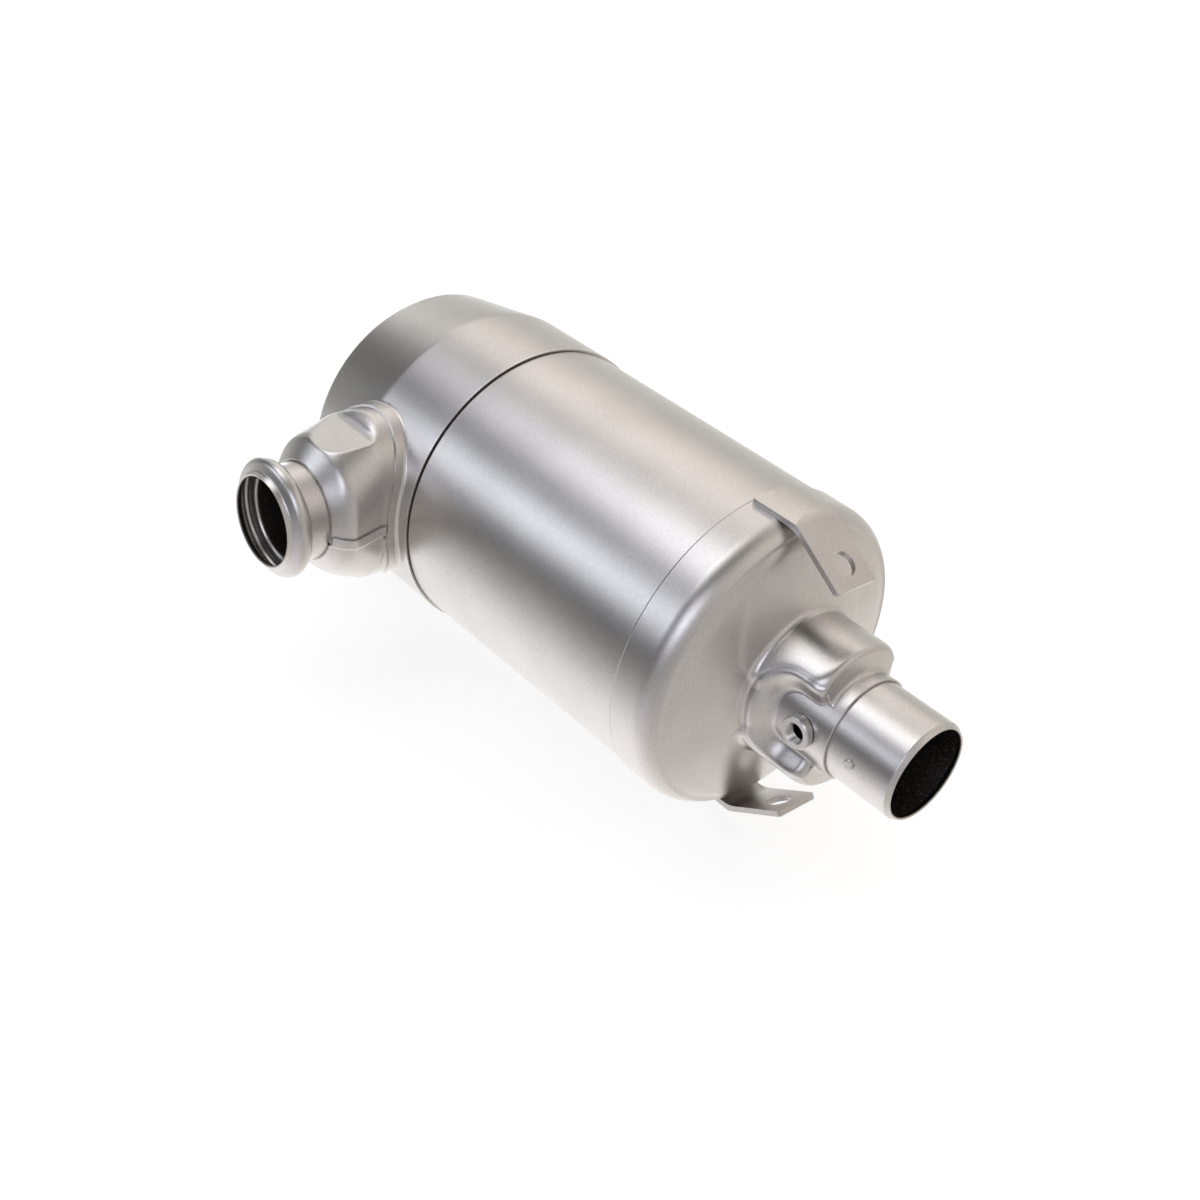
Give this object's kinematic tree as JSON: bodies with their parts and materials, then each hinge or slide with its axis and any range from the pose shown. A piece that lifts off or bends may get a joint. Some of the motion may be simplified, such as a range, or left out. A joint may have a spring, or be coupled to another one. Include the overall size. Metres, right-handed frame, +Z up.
{
  "type": "catalytic converter",
  "caption": "Side-entry exhaust catalytic converter: a round can with a side inlet, a domed outlet cone, a sensor boss and two bolt brackets.",
  "frame": {"origin": "centre of the outlet pipe, midway along the length between its locating stud and its lip", "axes": "+X along the can towards the outlet, +Z up through the upper bracket, -Y out of the inlet"},
  "size_m": [0.6545, 0.3893, 0.2942],
  "materials": {
    "shell_steel": "satin drawn stainless sheet",
    "pipe_steel": "satin stainless tube",
    "boss_steel": "turned stainless",
    "bracket_steel": "satin stainless plate",
    "ring_steel": "pressed stainless sheet",
    "mesh_steel": "knitted wire mesh",
    "brick_ceramic": "matt washcoated honeycomb",
    "mat_fibre": "compressed fibre mat"
  },
  "bodies": {
    "root": {"can_shell": "shell_steel", "flow_plate": "ring_steel", "front_brick": "brick_ceramic", "front_mat": "mat_fibre", "front_mesh_seal": "mesh_steel", "front_retaining_ring": "ring_steel", "inlet_cap": "shell_steel", "inlet_neck_lower": "shell_steel", "inlet_neck_upper": "shell_steel", "inlet_pipe": "pipe_steel", "locating_stud": "boss_steel", "lower_bracket": "bracket_steel", "outlet_cone": "shell_steel", "outlet_pipe": "pipe_steel", "rear_brick": "brick_ceramic", "rear_mat": "mat_fibre", "rear_mesh_seal": "mesh_steel", "rear_retaining_ring": "ring_steel", "sensor_boss": "boss_steel", "upper_bracket": "bracket_steel"}
  },
  "joints": []
}
